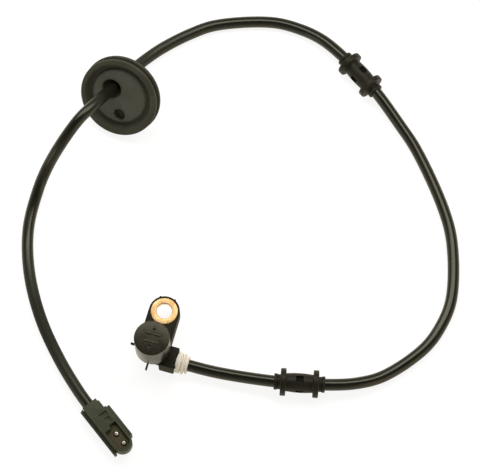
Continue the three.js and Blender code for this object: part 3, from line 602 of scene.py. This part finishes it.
@dataclass
class Studio:
    """The camera at the photograph's viewing angle, a strip softbox, two low lights, a pale room and a white table.

    Attributes:
        aim: the point of the table in the middle of the picture, in metres.
        turn: from X to the picture's right.
        tilt: from straight down to the camera's view.
        distance: from the camera to the aim, in metres.
        lens: focal length in millimetres.
        sensor: width of the camera's sensor in millimetres.
        wall_light: how bright the room is at the height of the table.
        ceiling_light: how bright it is straight overhead.
        table_mirrored: how bright the table is in what mirrors it, beside the light it takes.
        table_seen: the same for the camera, so that the table is white.
    """

    aim: Corner = (0.01726, 0.05373, 0.0)
    turn: float = radians(16)
    tilt: float = radians(19)
    distance: float = 0.9
    lens: float = 157.95
    sensor: float = 36.0
    wall_light: float = 0.9
    ceiling_light: float = 0.08
    table_mirrored: float = 0.5
    table_seen: float = 0.86

    def stand(self, right: float, up: float, over: float = 0.0) -> Vector:
        """A way to the picture's right and up on the table, and over it, in metres."""
        c, s = cos(self.turn), sin(self.turn)
        return Vector((c * right - s * up, s * right + c * up, over))

    def camera(self) -> None:
        """Adds the camera and makes it the scene's own."""
        back = self.stand(0, -sin(self.tilt), cos(self.tilt))
        over = self.stand(0, cos(self.tilt), sin(self.tilt))
        data = bpy.data.cameras.new("camera")
        data.sensor_fit = "HORIZONTAL"
        data.sensor_width = self.sensor
        data.lens = self.lens
        data.clip_start = 0.05
        data.clip_end = 20.0
        camera = add_object("camera", data)
        camera.matrix_world = facing(Vector(self.aim) + back * self.distance, self.stand(1, 0), over, back)
        bpy.context.scene.camera = camera

    def softbox(
        self, name: str, way: Corner, size: Point, watts: float, colour: str = "#FFFCF6", twist: float = 0.0
    ) -> None:
        """Adds an area light that faces the aim.

        Args:
            name: the light's name.
            way: how far it stands to the picture's right and top, and how high, in metres.
            size: its width along the picture and its depth, in metres.
            watts: its power.
            colour: its sRGB colour.
            twist: how far its long side is turned from the picture's width, in degrees.
        """
        data = bpy.data.lights.new(name, "AREA")
        data.shape = "RECTANGLE"
        data.size, data.size_y = size
        data.energy = watts
        data.color = linear(colour)[:3]
        from_aim = self.stand(*way)
        back = from_aim.normalized()
        over = back.cross(spin(twist).to_3x3() @ self.stand(1, 0)).normalized()
        across = over.cross(back).normalized()
        add_object(name, data).matrix_world = facing(Vector(self.aim) + from_aim, across, over, back)

    def room(self) -> None:
        """Sets the room: pale walls round the table and a dim ceiling, as round a light table."""
        world = bpy.data.worlds.new("room")
        nodes = empty_nodes(world)
        place = nodes.add("TexCoord").outputs["Generated"]
        height = nodes.add("SeparateXYZ", {0: place}).outputs[2]
        level = nodes.span(height, 0.0, 1.0, self.wall_light, self.ceiling_light)
        shade = nodes.add("Background", {"Color": linear("#FFFAF0"), "Strength": level})
        nodes.add("OutputWorld", {"Surface": shade.outputs[0]})
        bpy.context.scene.world = world

    def table(self) -> None:
        """Adds the white table: it stays white to the eye and still takes the object's shadow."""
        material = bpy.data.materials.new("white_laminate_pressed")
        nodes = empty_nodes(material)

        def laminate(colour: str, light: str, strength: Any) -> Socket:
            """A diffuse colour with a light of its own."""
            lit = nodes.add("BsdfDiffuse", {"Color": linear(colour)}).outputs[0]
            own = nodes.add("Emission", {"Color": linear(light), "Strength": strength}).outputs[0]
            return nodes.add("AddShader", {0: lit, 1: own}).outputs[0]

        ray = nodes.add("LightPath").outputs
        mirrored = nodes.math("ADD", ray["Is Glossy Ray"], ray["Is Transmission Ray"], use_clamp=True)
        around = laminate("#E6E0D4", "#FCF6E6", nodes.math("MULTIPLY", mirrored, self.table_mirrored))
        seen = laminate("#858585", "#FFFFFF", self.table_seen)
        top = nodes.add("MixShader", {0: ray["Is Camera Ray"], 1: around, 2: seen})
        nodes.add("OutputMaterial", {"Surface": top.outputs[0]})
        mesh = bpy.data.meshes.new("table")
        mesh.from_pydata([(-3, -3, 0), (3, -3, 0), (3, 3, 0), (-3, 3, 0)], [], [(0, 1, 2, 3)])
        mesh.materials.append(material)
        table = add_object("table", mesh)
        table.location = (0, 0, -0.1 * MM)

    def build(self) -> None:
        """Adds the lights, the room and the table."""
        self.softbox("strip_softbox", (0.0, 0.2, 0.45), (0.7, 0.22), 2.1, twist=-18.0)
        self.softbox("right_fill", (0.6, -0.58, 0.27), (0.5, 0.25), 0.6, colour="#F2CFA8")
        self.softbox("left_glint", (-0.56, -0.33, 0.22), (0.2, 0.15), 0.18)
        self.room()
        self.table()
        bpy.context.scene.view_settings.view_transform = "Standard"


# Cable

CABLE_BORE = 2.55  # radius in millimetres of the bores that the cable fills


@dataclass
class Cable:
    """The round cable from the head to the connector, with the pieces threaded on it.

    Attributes:
        diameter: outside diameter in millimetres.
        route: the centre line's points in millimetres, from the nose's axis. The second is at the ferrule's lip.
        steps: points on the smooth line between two of the route's points.
    """

    diameter: float = 5.0
    route: tuple[Corner, ...] = (
        (5.6, -1.6, 4.6), (15.6, -1.6, 4.6), (28.7, -1.2, 4.6), (51.8, 1.3, 5.8), (62.1, 3.5, 5.85),
        (72.4, 5.7, 5.8), (85.1, 10.4, 4.4), (95.2, 17.1, 2.9), (108.1, 33, 2.55), (112.4, 44.2, 2.55),
        (113.8, 57.1, 2.55), (108.1, 81.2, 2.55), (100.8, 95.3, 2.55), (82.6, 118.7, 2.65), (72.8, 127.6, 3.6),
        (59.1, 138.7, 5.8), (50.5, 144.5, 5.85), (41.9, 150.3, 5.8), (30.4, 156.6, 4.4), (20.1, 159.4, 3.1),
        (6.7, 159.5, 2.65), (-17, 151.3, 2.6), (-26.6, 144.2, 2.65), (-35.7, 135.1, 2.75), (-40.7, 128.6, 3.1),
        (-46.57, 117.04, 7.06), (-48.47, 110.66, 11.36), (-49.77, 103.48, 17.43), (-53.2, 93.4, 23),
        (-57.4, 84.7, 23.8), (-61.8, 74.8, 19.8), (-66.5, 64.2, 10.4), (-68.3, 54.4, 4.8), (-67.3, 37.9, 2.75),
        (-61, 19.6, 2.65), (-50.2, 1.6, 2.6), (-37.2, -13.4, 2.9), (-25.4, -24.4, 3.8), (-19.1, -29.4, 4),
        (-15.1, -32.25, 4),
    )
    steps: int = 8

    def line(self) -> list[Vector]:
        """The smooth centre line through the route, in millimetres from the nose's axis."""
        points = [Vector(p) for p in self.route]
        ends = [points[0] * 2 - points[1], *points, points[-1] * 2 - points[-2]]
        smooth = []
        for p0, p1, p2, p3 in zip(ends, ends[1:], ends[2:], ends[3:]):
            t0, t1, t2 = (p1 - p0).length ** 0.5, (p2 - p1).length ** 0.5, (p3 - p2).length ** 0.5
            leave = ((p1 - p0) / t0 - (p2 - p0) / (t0 + t1) + (p2 - p1) / t1) * t1
            reach = ((p2 - p1) / t1 - (p3 - p1) / (t1 + t2) + (p3 - p2) / t2) * t1
            for step in range(self.steps):
                t = step / self.steps
                smooth.append(
                    p1 + leave * t + (p2 * 3 - p1 * 3 - leave * 2 - reach) * t ** 2
                    + (p1 * 2 - p2 * 2 + leave + reach) * t ** 3
                )
        smooth.append(points[-1])
        return smooth

    def length(self) -> float:
        """The centre line's length in millimetres."""
        line = self.line()
        return sum((b - a).length for a, b in zip(line, line[1:]))

    def build(self) -> Object:
        """Adds the cable as a round curve."""
        data = bpy.data.curves.new("cable", "CURVE")
        data.dimensions = "3D"
        data.bevel_depth = self.diameter / 2 * MM
        data.bevel_resolution = 10
        data.use_fill_caps = True
        line = self.line()
        spline = data.splines.new("POLY")
        spline.points.add(len(line) - 1)
        for point, place in zip(spline.points, line):
            point.co = (*in_row(place), 1.0)
        spline.use_smooth = True
        data.materials.append(CABLE_JACKET.material())
        cable = add_object("cable", data)
        declare_piece(cable, "cable_jacket")
        log.info("cable: %.0f mm long", self.length())
        return cable

    def declare(self) -> None:
        """Works out the cable's length in metres, and does nothing with it."""
        self.length() * MM


# Sensor head


@dataclass
class SensorHead:
    """The nose, the ear with its bush, the back body with its exit block, and the ferrule, in millimetres.

    Levels are heights above the floor. The block's front and rear are taken from the row of the cable's exit.
    """

    nose_radius: float = 7.35
    nose_wall: float = 1.2
    tip_wall: float = 0.8
    tip_edge: float = 0.55
    nose_top: float = 25.5
    bar_size: Point = (6.5, 0.8)
    bar_height: float = 0.2
    bar_offset: float = 1.7
    dot_radius: float = 0.6
    dot_depth: float = 0.65
    dot_offset: float = 3.6
    notch_width: float = 1.2
    notch_height: float = 1.4
    ear_top: float = 11.5
    ear_bottom: float = 4.5
    ear_reach: float = 16.3
    ear_radius: float = 6.5
    ear_root_radius: float = 6.55
    ear_cut: float = 0.4
    nub_turns: Point = (63, 121)
    nub_radius: float = 0.4
    body_half_width: float = 5.2
    body_rows: Point = (-4, 5.5)
    body_corner: float = 1.8
    fin_levels: Point = (7.2, 8.8)
    bush_radius: float = 5.7
    bush_bore: float = 3.2
    bush_flare: float = 4.6
    bush_proud: float = 0.2
    exit_row: float = -1.6
    exit_level: float = 4.6
    block_rows: Point = (-4.25, 5.0)
    block_start: float = 3.8
    block_reach: float = 10.2
    block_top: float = 9
    ferrule_bore: float = 3.55
    ferrule_neck: float = 3.15
    ferrule_end: float = 5.4
    ribs: tuple[Corner, ...] = ((0.3, 2.3, 4.35), (3.0, 3.8, 4.35), (4.6, 5.2, 3.8))

    def nose(self) -> Mesh:
        """The closed barrel with its two raised bars, two sunken dots and the notches at its foot."""
        inner, top = self.nose_radius - self.nose_wall, self.nose_top
        shell = turned(rounded([
            (inner, self.ear_top, 0), (self.nose_radius, self.ear_top, 0.1), (self.nose_radius, top, self.tip_edge),
            (0, top, 0), (0, top - self.tip_wall, 0), (inner, top - self.tip_wall, 0),
        ], 6), 128)
        dot, floor = self.dot_radius, -self.dot_depth
        dot_profile = rounded([(0, floor, 0), (dot - 0.05, floor, 0.1), (dot, 0.2, 0), (0, 0.2, 0)], 3)
        long, wide = (size / 2 for size in self.bar_size)
        bars, cuts = [], []
        for side in (-1, 1):
            row = side * self.bar_offset
            bars.append(block((-long, row - wide, top - 0.4), (long, row + wide, top + self.bar_height), 0.12))
            cuts.append(shifted(turned(dot_profile, 32), 0, side * self.dot_offset, top))
        for quarter in range(4):
            half, level = self.notch_width / 2, self.ear_top
            notch = block((inner / 2, -half, level - 1), (9, half, level + self.notch_height), 0.2)
            cuts.append(moved(notch, spin(90 * quarter)))
        return carved(shell, bars, cuts)

    def ear_outline(self) -> list[Point]:
        """The ear's outline: a round end at the bush and a cut off one at the nose."""
        lean = asin((self.ear_root_radius - self.ear_radius) / self.ear_reach)
        outline = arc(0, self.ear_reach, self.ear_radius, lean, pi - 2 * lean, 48)
        root = arc(0, 0, self.ear_root_radius, pi - lean, pi + 2 * lean, 96)
        outline += [(x, max(y, -self.ear_cut)) for x, y in root]
        kept = [outline[0]]
        for point in outline[1:]:
            if (Vector(point) - Vector(kept[-1])).length > 0.05:
                kept.append(point)
        return kept

    def housing(self) -> Mesh:
        """The ear plate, the back body, the exit block, the thin fins and the pips, as one moulding."""
        plate = prism(self.ear_outline(), self.ear_bottom, self.ear_top, 0.15)
        half, (front, rear), corner = self.body_half_width, self.body_rows, self.body_corner
        body = rounded([(-half, front, corner), (half, front, corner), (half, rear, corner), (-half, rear, corner)])
        front, rear = (self.exit_row + row for row in self.block_rows)
        start, end = self.block_start, self.block_reach
        exit_block = rounded([(start, front, 0.3), (end, front, 0.5), (end + 0.25, rear, 0.3), (start, rear, 0.3)])
        low, high = self.fin_levels
        parts = [
            prism(body, 0, self.ear_top, 0.3),
            prism(exit_block, 0, self.block_top, 0.35),
            block((-9.8, -0.4, low), (0, 0.4, high), 0.15),
            block((-0.8, -9.3, low), (-0.1, 0, high), 0.15),
        ]
        for turn in self.nub_turns:
            across, along = self.ear_radius * cos(radians(turn)), self.ear_radius * sin(radians(turn))
            nub = rod(self.nub_radius, -0.8, 0, 24, 0.12, 3)
            parts.append(shifted(nub, across, self.ear_reach + along, self.ear_top))
        parts.append(shifted(rod(self.nub_radius, 8, 11.4, 20), 6.6, 3.35))
        parts.append(shifted(along_x(rod(0.5, 8, 11, 24, 0.15)), 0, -4.95, 8.3))
        cuts = [
            shifted(rod(self.bush_radius + 0.1, -20, 20, 96), 0, self.ear_reach),
            shifted(along_x(rod(self.ferrule_bore, 4.9, 12, 64)), 0, self.exit_row, self.exit_level),
            block((-3.2, -2.4, 2.8), (3.2, 4.3, 20)),
        ]
        return carved(plate, parts, cuts)

    def bush(self) -> Mesh:
        """The turned bush, proud of the ear on both sides, with a bore that flares towards its back."""
        low, high = self.ear_bottom - self.bush_proud, self.ear_top + self.bush_proud
        return turned(rounded([
            (self.bush_flare, low, 0.1), (self.bush_radius, low, 0.25),
            (self.bush_radius, high, 0.25), (self.bush_bore, high, 0.3), (self.bush_bore, high - 1.0, 0),
        ], 5), 128)

    def ferrule(self) -> Mesh:
        """The ribbed ferrule, along X from its socket in the block."""
        outside, neck = self.ferrule_bore - 0.3, self.ferrule_neck
        corners: list[Corner] = [(CABLE_BORE, -5, 0), (outside, -5, 0), (outside, 0.15, 0)]
        for start, end, radius in self.ribs:
            corners += [(neck, start, 0.08), (radius, start, 0.18), (radius, end, 0.18), (neck, end, 0.08)]
        corners += [(neck, self.ferrule_end, 0.1), (CABLE_BORE, self.ferrule_end, 0.1)]
        return shifted(along_x(turned(rounded(corners))), self.block_reach, self.exit_row, self.exit_level)

    def build(self) -> None:
        """Adds the head's visible pieces."""
        rest = Matrix.Identity(4)
        low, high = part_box("mounting_bush")
        middle = (low + high) / 2 / MM - HEAD
        place = Matrix.Translation((middle.x, middle.y, 0))
        bush = make_piece("bush", self.bush(), YELLOW_BUSH, place, "mounting_bush")
        # Painted reflection: the bore's faces take the near white mirror steel.
        refinish(
            bush, BORE_PAINTED_REFLECTION, place,
            lambda p: p.xy.length < self.bush_flare and self.ear_bottom < p.z < self.ear_top - 0.3,
        )
        make_piece("nose", self.nose(), NOSE_POLYAMIDE, rest, "nose_cap")
        make_piece("head", self.housing(), HEAD_POLYAMIDE, rest, "head_housing")
        make_piece("ferrule", self.ferrule(), NATURAL_POLYAMIDE, rest, "cable_ferrule")


# Rubber pieces on the cable


@dataclass
class BracketSleeve:
    """A rubber sleeve with two flanges that a body bracket grips, in millimetres.

    Each pocket is a floor's radius, half a width and half a length, and sits at each of the pocket turns.
    """

    length: float = 21.2
    bead: float = 3.4
    neck: float = 3.15
    flange: float = 5.75
    flange_width: float = 2.3
    flange_spacing: float = 13.6
    body: float = 3.75
    crown: float = 0.35
    pocket: Corner = (2.9, 1.35, 1.6)
    pocket_turns: Point = (0, 101)

    def shape(self) -> Mesh:
        """The sleeve along X about its middle."""
        half = self.length / 2
        near = (self.flange_spacing - self.flange_width) / 2
        far = near + self.flange_width
        outside = [
            (self.bead, half, 0.25), (self.bead, half - 1.1, 0.2), (self.neck, half - 1.5, 0.2),
            (self.neck, far, 0.25), (self.flange, far, 0.35), (self.flange, near, 0.35), (self.body, near, 0.3),
            (self.body + self.crown * 0.75, near / 2, 3.0),
        ]
        lower = [(radius, -row, edge) for radius, row, edge in outside]
        sleeve = turned(rounded([
            (CABLE_BORE, -half, 0.1), *lower, (self.body + self.crown, 0, 3.0), *outside[::-1],
            (CABLE_BORE, half, 0.1),
        ], 5))
        floor, wide, long = self.pocket
        cuts = [moved(block((floor, -wide, -long), (6, wide, long), 0.12), spin(turn)) for turn in self.pocket_turns]
        return along_x(carved(sleeve, [], cuts))

    def build(self, node: str, cable: Cable, index: int, turn: float) -> Object:
        """Adds one sleeve at a point of the cable's route.

        Args:
            node: the CAD node that it stands for.
            cable: the cable that it sits on.
            index: which of the route's points.
            turn: its turn about the cable, in degrees.

        Returns:
            The sleeve's object.
        """
        before, here, after = (Vector(cable.route[i]) for i in (index - 1, index, index + 1))
        heading = Vector((1, 0, 0)).rotation_difference((after - before).normalized()).to_matrix().to_4x4()
        place = Matrix.Translation(here) @ heading @ spin(turn, "X")
        name = node.replace("sleeve", "bracket_sleeve")
        sleeve = make_piece(name, self.shape(), SLEEVE_EPDM, place, node)
        # Painted shade: the faces inside each pocket take the near black pocket finish.
        floor, outside, half = CABLE_BORE + 0.1, self.body - 0.05, self.pocket[2] + 0.02
        refinish(sleeve, POCKET_SHADE_EPDM, place, lambda p: abs(p.x) < half and floor < p.yz.length < outside)
        return sleeve


@dataclass
class PanelGrommet:
    """The round rubber grommet that seals the body panel, in millimetres.

    Each hole is x, y and radius. The tilt and the azimuth are those of the front face's normal, in degrees.
    """

    front_radius: float = 17.5
    back_radius: float = 17.7
    groove_radius: float = 15.2
    front_width: float = 1.6
    groove_width: float = 1.8
    back_width: float = 1.7
    rim_width: float = 2.1
    plateau_radius: float = 11.9
    plateau_drop: float = 1.5
    channel_depth: float = 2.9
    bowl_shift: float = -0.3
    edge: float = 0.5
    big_hole: Corner = (-1.92, -4.4, 4.35)
    small_hole: Corner = (8.36, 2.13, 2.65)
    hole_depth: float = 3.4
    small_hole_depth: float = 2.4
    snout_length: float = 8.0
    small_snout_length: float = 4.5
    tilt: float = 50.24
    azimuth: float = -100.23
    place: Point = (-45.79, 100.73)
    floor_gap: float = 0.12

    def mouth(self, radius: float) -> list[Point]:
        """The softened mouth of a hole in the plateau, from its wall to above the face."""
        deck = -self.plateau_drop
        lip = radius + 0.3
        return [(radius, deck - 0.3), (radius + 0.1, deck - 0.1), (lip, deck + 0.02), (lip, 1), (0, 1)]

    def shape(self) -> Mesh:
        """The grommet about the middle of its front face, which looks along Z."""
        groove_top = -self.front_width
        back_top = groove_top - self.groove_width
        back = back_top - self.back_width
        rim, deck, channel = self.front_radius - self.rim_width, -self.plateau_drop, -self.channel_depth
        body = turned(rounded([
            (0, back, 0), (self.back_radius, back, self.edge), (self.back_radius, back_top, self.edge),
            (self.groove_radius, back_top, 0.3), (self.groove_radius, groove_top, 0.3),
            (self.front_radius, groove_top, self.edge), (self.front_radius, 0, 0.6), (0, 0, 0),
        ], 6), 160)
        bowl = turned(rounded([
            (0, deck, 0), (self.plateau_radius, deck, 1.5), (self.plateau_radius + 0.9, channel, 0.8),
            (rim - 1.1, channel, 0.6), (rim - 0.5, -0.5, 0.6), (rim, 0.1, 0), (rim, 1, 0), (0, 1, 0),
        ], 6), 160)
        (*big_place, big), (*small_place, small), start = self.big_hole, self.small_hole, -self.hole_depth
        end = back - self.snout_length
        snout = turned(rounded([
            (0, end, 0), (CABLE_BORE + 1.3, end, 0.5), (big + 0.65, back - 1, 1.0), (big + 1.3, start, 0),
            (0, start, 0),
        ], 5))
        small_end = back - self.small_snout_length
        small_snout = turned(rounded([
            (0, small_end, 0), (small + 0.9, small_end, 0.3), (small + 0.9, start, 0), (0, start, 0),
        ]), 64)
        funnel = turned([(0, end - 1), (CABLE_BORE, end - 1), (CABLE_BORE, back), (big, start), *self.mouth(big)])
        floor = deck - self.small_hole_depth
        second = turned([(0, floor), (small, floor), *self.mouth(small)], 64)
        snouts = [shifted(snout, *big_place), shifted(small_snout, *small_place)]
        cuts = [shifted(bowl, 0, self.bowl_shift), shifted(funnel, *big_place), shifted(second, *small_place)]
        return carved(body, snouts, cuts)

    def build(self) -> Object:
        """Adds the grommet, leaning on its rim."""
        lean = radians(self.tilt)
        thickness = self.front_width + self.groove_width + self.back_width
        lift = (thickness - self.edge) * cos(lean) + self.back_radius * sin(lean) + self.floor_gap
        place = Matrix.Translation((*self.place, lift)) @ spin(self.azimuth) @ spin(self.tilt, "Y")
        grommet = make_piece("body_grommet", self.shape(), GROMMET_EPDM, place, "panel_grommet")
        # Painted light: the plateau and its shoulder inside the rim take the paler rubber.
        inside = self.plateau_radius + 0.7
        refinish(grommet, GROMMET_PAINTED_LIGHT, place, lambda p: p.xy.length < inside and p.z > -self.channel_depth)
        return grommet


# Connector


@dataclass
class Connector:
    """The flat two pin connector with its open socket on top, in millimetres.

    X runs from the cable's end to the tip, Y across and Z up through the socket. A size is a radius and two levels.
    """

    place: Point = (-21.82, -33.28)
    turn: float = -35.59
    height: float = 8.0
    length: float = 25.6
    width: float = 11.3
    deck_bottom: float = 2.7
    tail_width: float = 9.15
    tail_step: float = 0.8
    tail_length: float = 5.1
    rail_width: float = 1.6
    rail_height: float = 5.6
    rail_end: float = 23.1
    bar_end: float = 20.9
    rail_bevel: float = 0.45
    nose_bevel: float = 1.6
    nose_bevel_top: float = 5.0
    socket_row: float = 5.75
    socket_radius: float = 3.0
    socket_wall: float = 1.1
    socket_floor: float = 2.05
    socket_rear: float = 14.1
    key_rear: float = 12.7
    chamfer: float = 0.5
    carrier_gap: float = 0.05
    carrier_top: float = 5.9
    pin_row: float = 6.2
    pin_places: Point = (17.0, 21.95)
    pin_size: Corner = (1.0, 1.5, 6.8)
    pin_hole: float = 1.25
    seal_size: Corner = (3.65, -1, 6.4)
    cable_row: float = 4.75
    cable_level: float = 4.0

    def placement(self) -> Matrix:
        """The connector's turn and place."""
        return Matrix.Translation((*self.place, 0)) @ spin(self.turn)

    def nose_centre(self) -> float:
        """Where the half round front of the socket has its centre."""
        return self.length - self.socket_wall - self.socket_radius

    def nose_arc(self, radius: float) -> list[Corner]:
        """The half round front of the socket or of its wall, from its right side to its left."""
        return [(x, y, 0) for x, y in arc(self.nose_centre(), self.socket_row, radius, -pi / 2, pi, 32)]

    def socket(self, more: float) -> list[Point]:
        """The outline of the D shaped socket, this much wider all round."""
        radius, rear, key_rear = self.socket_radius + more, self.socket_rear - more, self.key_rear - more
        return rounded([
            (rear, self.socket_row - radius, 0.3), *self.nose_arc(radius),
            (key_rear, self.socket_row + radius, 0.3), (key_rear, self.socket_row, 0.3), (rear, self.socket_row, 0.2),
        ])

    def deck_outline(self, nose: float) -> list[Point]:
        """The outline of the deck with this radius at its nose."""
        centre, left, tail = self.nose_centre(), self.width - self.rail_width, self.tail_width - self.tail_step
        return rounded([
            (0, self.rail_width, 0.2), (centre, self.rail_width, 0.2), *self.nose_arc(nose), (centre, left, 0.2),
            (self.tail_length, left, 0.2), (self.tail_length, tail, 0.2), (0, tail, 0.2),
        ])

    def rails(self) -> Mesh:
        """The rails beside the deck and the bar across its nose, narrowed at the foot."""
        tail = self.tail_width - self.tail_step
        outline = rounded([
            (0.4, 0, 0.2), (self.rail_end, 0, 0.15), (self.rail_end, self.rail_width, 0.1),
            (self.bar_end, self.rail_width, 0.1), (self.bar_end, self.width, 0.12), (self.tail_length, self.width, 0.2),
            (self.tail_length, self.tail_width, 0.1), (0.8, self.tail_width, 0.2), (0.8, tail, 0.1), (0, tail, 0.2),
            (0, 0.8, 0.2), (0.4, 0.8, 0.1),
        ])
        return prism(outline, 0, self.rail_height, 0.15, foot=[(x, max(y, self.rail_bevel)) for x, y in outline])

    def housing(self) -> Mesh:
        """The deck, the rails beside it and everything cut into them."""
        outer, top, rim = self.socket_radius + self.socket_wall, self.height + 1, self.chamfer / 2
        deck = prism(self.deck_outline(outer), self.deck_bottom, self.height, 0.3)
        bevelled = self.deck_outline(outer - self.nose_bevel)
        nose = prism(self.deck_outline(outer), 0, self.nose_bevel_top, 0.1, foot=bevelled)
        seal_bore = along_x(rod(*self.seal_size, 64))
        cuts = [
            prism(self.socket(0), self.socket_floor, top),
            prism(self.socket(self.chamfer), self.height - rim, self.height + rim, foot=self.socket(0)),
            block((6.55, 5.0, self.height - 0.7), (8.55, 8.5, top), 0.15),
            block((9.1, 5.9, self.height - 0.5), (11.7, 8.1, top), 0.15),
            shifted(seal_bore, 0, self.cable_row, self.cable_level),
        ]
        return carved(deck, [nose, self.rails()], cuts)

    def carrier(self) -> Mesh:
        """The plate at the bottom of the socket, with a rim round each pin."""
        plate = prism(self.socket(-self.carrier_gap), self.socket_floor + self.carrier_gap, self.carrier_top, 0.12)
        holes = [shifted(rod(self.pin_hole, 0, 9, 40), place, self.pin_row) for place in self.pin_places]
        return carved(plate, [], holes)

    def pin(self, place: float) -> Mesh:
        """One round contact with a domed end."""
        return shifted(rod(*self.pin_size, 64, 0.75, 8), place, self.pin_row)

    def build(self) -> list[Object]:
        """Adds the connector's visible pieces."""
        place = self.placement()
        pieces = [
            make_piece("plug_body", self.housing(), PLUG_POLYESTER, place, "connector_housing"),
            make_piece("plug_carrier", self.carrier(), CARRIER_RESIN, place, "pin_carrier"),
        ]
        for number, row in enumerate(self.pin_places, 1):
            name, node = f"plug_pin_{number}", f"contact_pin_{number}"
            pieces.append(make_piece(name, self.pin(row), TINNED_BRONZE, place, node))
        return pieces


def dress_inner_parts() -> None:
    """Gives each CAD node that stays its own finish."""
    finishes = {
        "chip_carrier": CARRIER_RESIN, "sensor_chip": CHIP_EPOXY, "bias_magnet": MAGNET_BLOCK,
        "cable_seal": GROMMET_EPDM,
    }
    for number, core in ((1, BROWN_CORE), (2, BLUE_CORE)):
        finishes |= {f"{metal}_{number}": TINNED_BRONZE for metal in ("chip_lead", "core_crimp")}
        finishes |= {f"{part}_core_{number}": core for part in ("head", "plug")}
    for name, finish in finishes.items():
        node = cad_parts[name]
        node.data.materials.clear()
        node.data.materials.append(finish.material())
        log.info("%s: %s", name, finish.name)


def main() -> None:
    """Builds the camera, the cable, every piece and the studio, in that order."""
    logging.basicConfig(level=logging.INFO, format="%(name)s: %(message)s")
    studio = Studio()
    studio.camera()
    route = Cable()
    cable = route.build()
    SensorHead().build()
    sleeve = BracketSleeve()
    threaded = [
        sleeve.build("lower_sleeve", route, 4, 169.0),
        sleeve.build("upper_sleeve", route, 16, 100.7),
        PanelGrommet().build(),
        *Connector().build(),
    ]
    dress_inner_parts()
    route.declare()
    studio.build()


if __name__ == "__main__":
    main()
